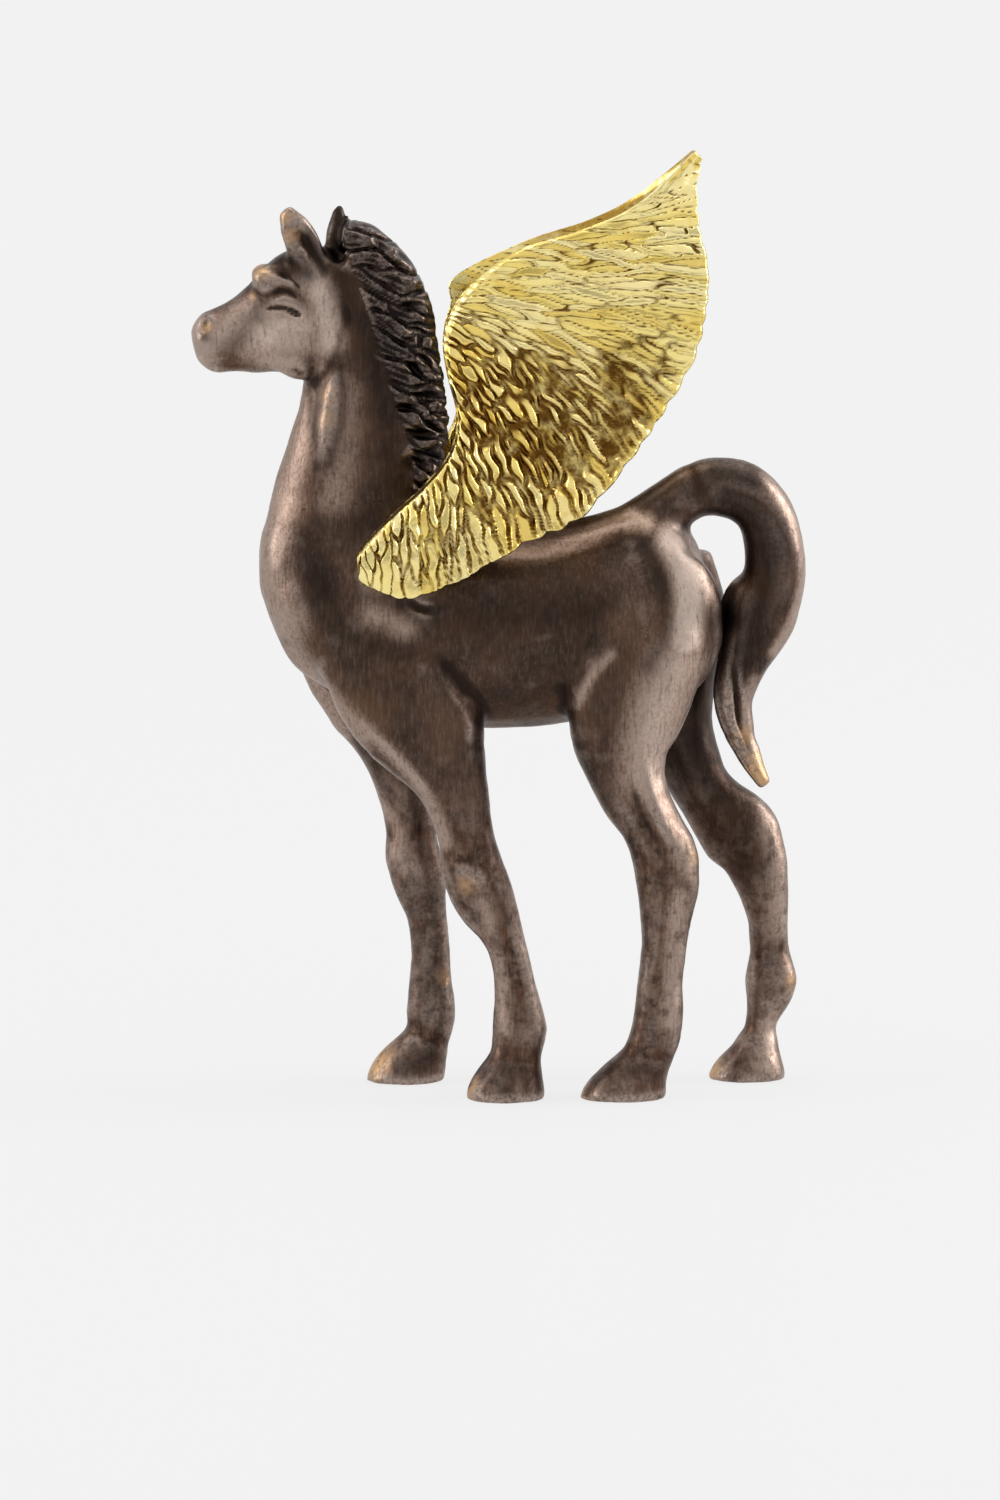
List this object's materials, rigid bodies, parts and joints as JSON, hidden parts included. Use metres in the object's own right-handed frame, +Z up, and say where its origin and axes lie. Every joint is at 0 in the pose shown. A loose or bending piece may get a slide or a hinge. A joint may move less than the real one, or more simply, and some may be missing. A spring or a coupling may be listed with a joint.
{
  "type": "winged foal statuette",
  "caption": "Statuette of a standing winged foal: dark patinated bronze body on its own hooves, hooked tail, and raised gilded wings pinned at the shoulders.",
  "frame": {"origin": "on the ground under the middle of the statuette's length and width", "axes": "+Z up, the foal faces -X and its left side is towards -Y"},
  "size_m": [0.0778, 0.0264, 0.1198],
  "materials": {
    "bronze": "dark brown patina over cast bronze, rubbed lighter on raised forms",
    "gilding": "polished gilding over cast bronze",
    "pin_brass": "drawn brass bar, hidden inside the joints"
  },
  "bodies": {
    "root": {"trunk": "bronze", "neck_and_head": "bronze", "left_foreleg": "bronze", "right_foreleg": "bronze", "left_hind_leg": "bronze", "right_hind_leg": "bronze", "tail": "bronze", "left_wing": "gilding", "right_wing": "gilding", "neck_dowel_front": "pin_brass", "neck_dowel_rear": "pin_brass", "left_foreleg_dowel": "pin_brass", "right_foreleg_dowel": "pin_brass", "left_hind_leg_dowel": "pin_brass", "right_hind_leg_dowel": "pin_brass", "tail_dowel": "pin_brass", "left_wing_stud_front": "pin_brass", "left_wing_stud_rear": "pin_brass", "right_wing_stud_front": "pin_brass", "right_wing_stud_rear": "pin_brass"}
  },
  "joints": []
}
